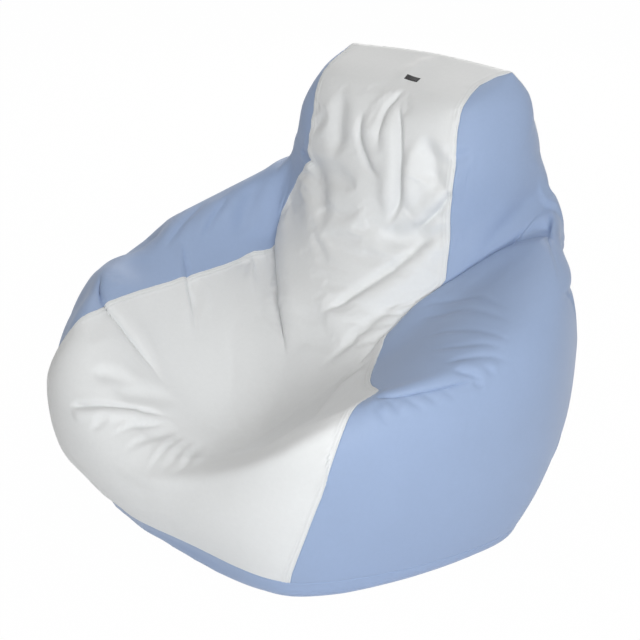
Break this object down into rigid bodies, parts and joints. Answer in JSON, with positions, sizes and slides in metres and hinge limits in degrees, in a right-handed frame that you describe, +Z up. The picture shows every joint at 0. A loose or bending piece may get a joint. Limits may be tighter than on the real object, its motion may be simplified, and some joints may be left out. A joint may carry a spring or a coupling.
{
  "type": "bean bag chair",
  "caption": "Pear-shaped bean bag lounger with a hollowed seat, a raised head, a two-tone sewn cover, a base zip with a sliding pull and a webbing carry handle.",
  "frame": {"origin": "middle of the flat base, on the floor", "axes": "+Z up, the bag faces -Y, +X towards the side with the lower, fuller arm"},
  "size_m": [0.9399, 0.9037, 0.7699],
  "materials": {
    "white_cover": "tightly woven coated marine fabric, white, with a soft low sheen",
    "blue_cover": "tightly woven coated marine fabric, pale blue, with a soft low sheen",
    "liner": "thin undyed lining cloth",
    "beads": "expanded foam beads",
    "zip_tape": "woven zip tape",
    "zip_chain": "moulded zip teeth",
    "steel": "stainless steel",
    "webbing": "woven webbing",
    "dark_tab": "blank woven tab"
  },
  "bodies": {
    "bag": {"front_panel": "white_cover", "back_panel": "white_cover", "left_side_panel": "blue_cover", "right_side_panel": "blue_cover", "base_panel": "blue_cover", "inner_liner_front": "liner", "inner_liner_back": "liner", "inner_liner_base": "liner", "bead_filling": "beads", "zip_tape_upper": "zip_tape", "zip_tape_lower": "zip_tape", "zip_chain_upper": "zip_chain", "zip_chain_lower": "zip_chain", "zip_top_stop_upper": "steel", "zip_top_stop_lower": "steel", "zip_bottom_stop": "steel", "carry_handle": "webbing", "handle_patch_left": "white_cover", "handle_patch_right": "white_cover", "blank_tab": "dark_tab"},
    "slider": {"zip_slider": "steel"},
    "pull_tab": {"zip_pull_tab": "steel"}
  },
  "joints": [
    {"name": "zip_slide", "type": "slide", "parent": "bag", "child": "slider", "axis": [-1, 0, 0], "range_m": [0, 0.298]},
    {"name": "pull_tab_hinge", "type": "hinge", "parent": "slider", "child": "pull_tab", "pos_m": [0.149, 0.37145, 0.04312], "axis": [0, -0.4086, -0.9127], "range_deg": [0, 150]}
  ]
}
